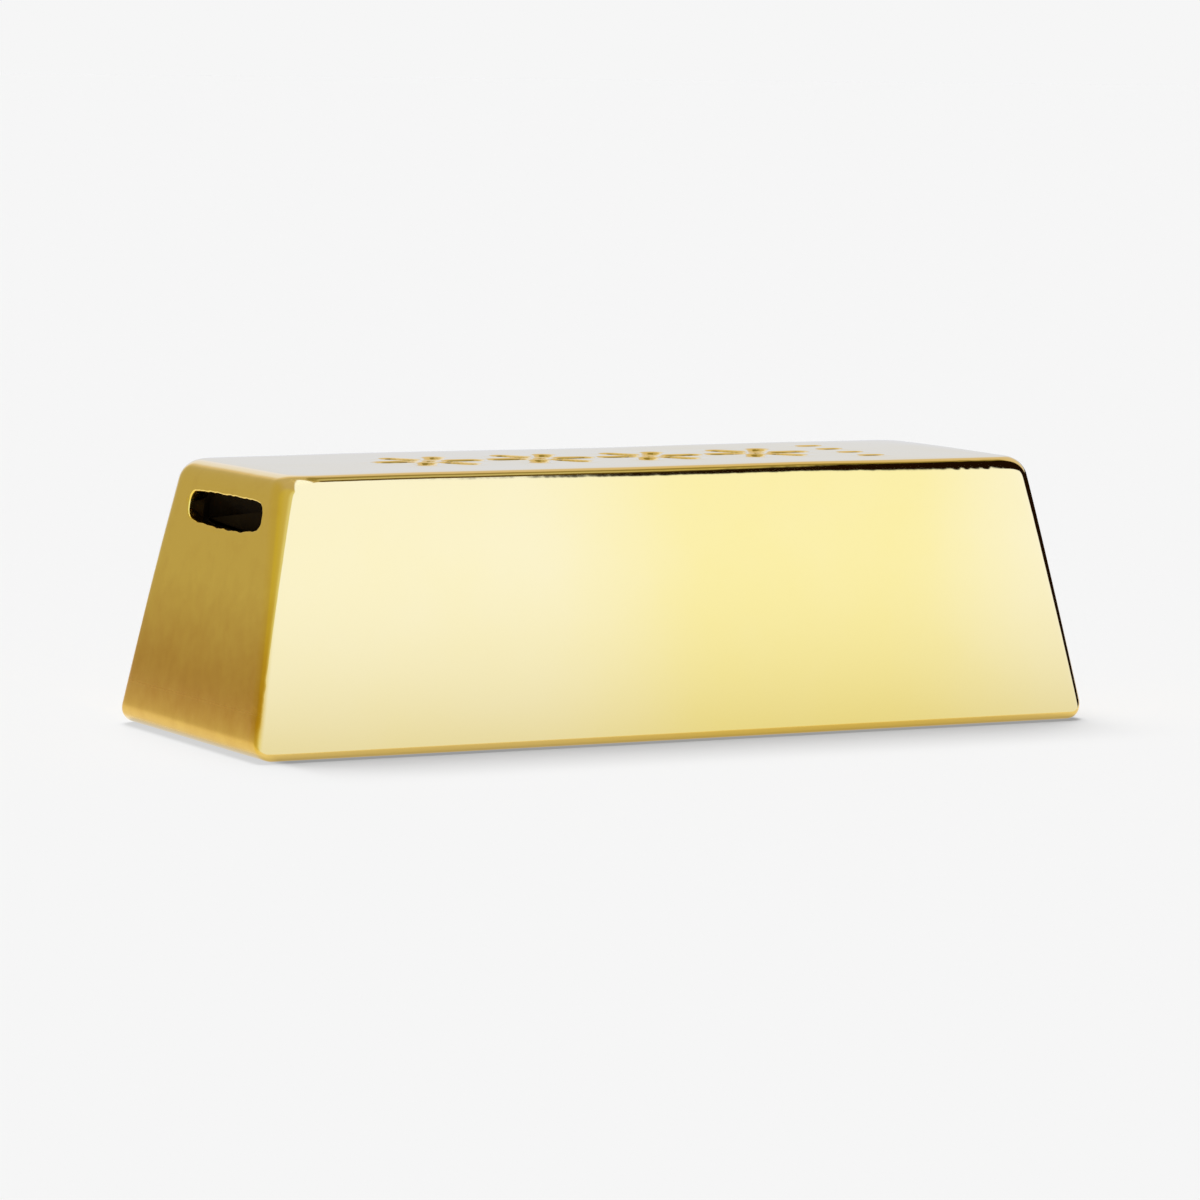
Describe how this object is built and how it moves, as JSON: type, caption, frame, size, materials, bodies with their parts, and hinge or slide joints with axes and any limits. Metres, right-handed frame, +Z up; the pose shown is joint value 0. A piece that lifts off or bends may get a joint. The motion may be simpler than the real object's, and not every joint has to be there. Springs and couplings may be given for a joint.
{
  "type": "piggy bank",
  "caption": "Hollow money box shaped like a cast gold ingot, with a coin slot in one end and a pull-out rubber stopper in the base.",
  "frame": {"origin": "on the table under the middle of the base", "axes": "+Z up, X along the bar's length with the coin slot in the -X end, Y across the bar"},
  "size_m": [0.18, 0.0686, 0.0523],
  "materials": {
    "gold_glaze": "mirror-bright gold plating over glaze",
    "stopper_rubber": "soft matt black moulded rubber",
    "pad_felt": "dark grey pressed felt"
  },
  "bodies": {
    "bank": {"ceramic_body": "gold_glaze", "felt_pads": "pad_felt"},
    "stopper": {"base_stopper": "stopper_rubber"}
  },
  "joints": [
    {"name": "stopper_pull", "type": "slide", "parent": "bank", "child": "stopper", "axis": [0, 0, -1], "range_m": [0, 0.03]}
  ]
}
